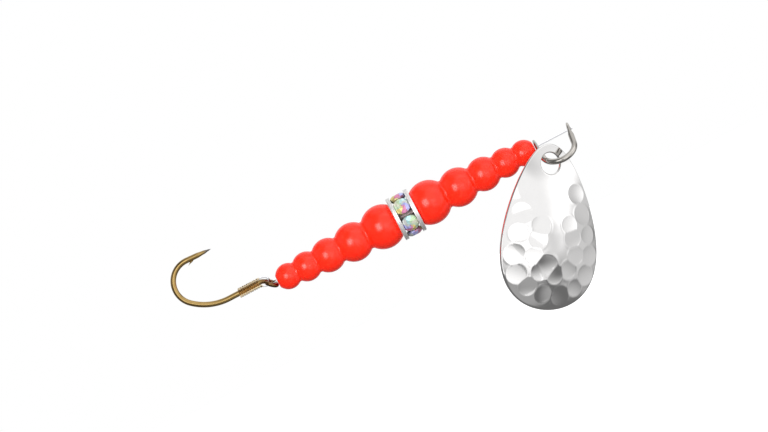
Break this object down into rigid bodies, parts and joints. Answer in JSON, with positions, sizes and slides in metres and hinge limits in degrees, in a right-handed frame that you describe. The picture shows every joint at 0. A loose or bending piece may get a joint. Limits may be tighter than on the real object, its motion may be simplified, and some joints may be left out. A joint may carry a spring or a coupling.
{
  "type": "inline spinner",
  "caption": "Trolling spinner on a nylon line: hammered pear-shaped blade on a wire clevis, stacked-ball plastic bodies, a jewelled spacer ring and a snelled barbed hook.",
  "frame": {"origin": "the front cut end of the nylon line, on the line's axis", "axes": "+X along the line in the towing direction, +Z towards the side that the hook's point is on, +Y completes the set"},
  "size_m": [0.0581, 0.0093, 0.0297],
  "materials": {
    "bronzed_steel": "bronze-lacquered steel wire, glossy",
    "nylon_line": "clear nylon monofilament, slightly milky",
    "red_plastic": "fluorescent red moulded plastic, glossy",
    "ring_metal": "silver plated",
    "cut_glass": "cut crystal with an iridescent coat",
    "nickel_wire": "nickel plated wire",
    "nickel_blade": "hammered, nickel plated, mirror bright"
  },
  "bodies": {
    "line": {"leader": "nylon_line"},
    "hook": {"hook": "bronzed_steel", "snell_wraps": "nylon_line"},
    "rear_body": {"rear_body": "red_plastic"},
    "ring": {"ring_rear_plate": "ring_metal", "ring_front_plate": "ring_metal", "ring_eyelet": "ring_metal", "stone_1": "cut_glass", "stone_2": "cut_glass", "stone_3": "cut_glass", "stone_4": "cut_glass", "stone_5": "cut_glass", "stone_6": "cut_glass"},
    "front_body": {"front_body": "red_plastic"},
    "clevis": {"clevis": "nickel_wire"},
    "blade": {"blade": "nickel_blade"}
  },
  "joints": [
    {"name": "hook_swing", "type": "hinge", "parent": "line", "child": "hook", "pos_m": [-0.04577, 0, 0.00021], "axis": [0, 1, 0], "range_deg": [-8, 35], "stiffness_Nm_per_rad": 0.0004},
    {"name": "rear_body_spin", "type": "hinge", "parent": "line", "child": "rear_body", "pos_m": [-0.0358, 0, 0], "axis": [1, 0, 0], "continuous": true},
    {"name": "ring_spin", "type": "hinge", "parent": "line", "child": "ring", "pos_m": [-0.0253, 0, 0], "axis": [1, 0, 0], "continuous": true},
    {"name": "front_body_spin", "type": "hinge", "parent": "line", "child": "front_body", "pos_m": [-0.0148, 0, 0], "axis": [1, 0, 0], "continuous": true},
    {"name": "clevis_spin", "type": "hinge", "parent": "line", "child": "clevis", "pos_m": [-0.003, 0, 0], "axis": [1, 0, 0], "continuous": true},
    {"name": "blade_swing", "type": "hinge", "parent": "clevis", "child": "blade", "pos_m": [-0.00501, -0.00278, -0.00286], "axis": [-0.3997, 0.891, 0.2152], "range_deg": [-30, 60]}
  ]
}
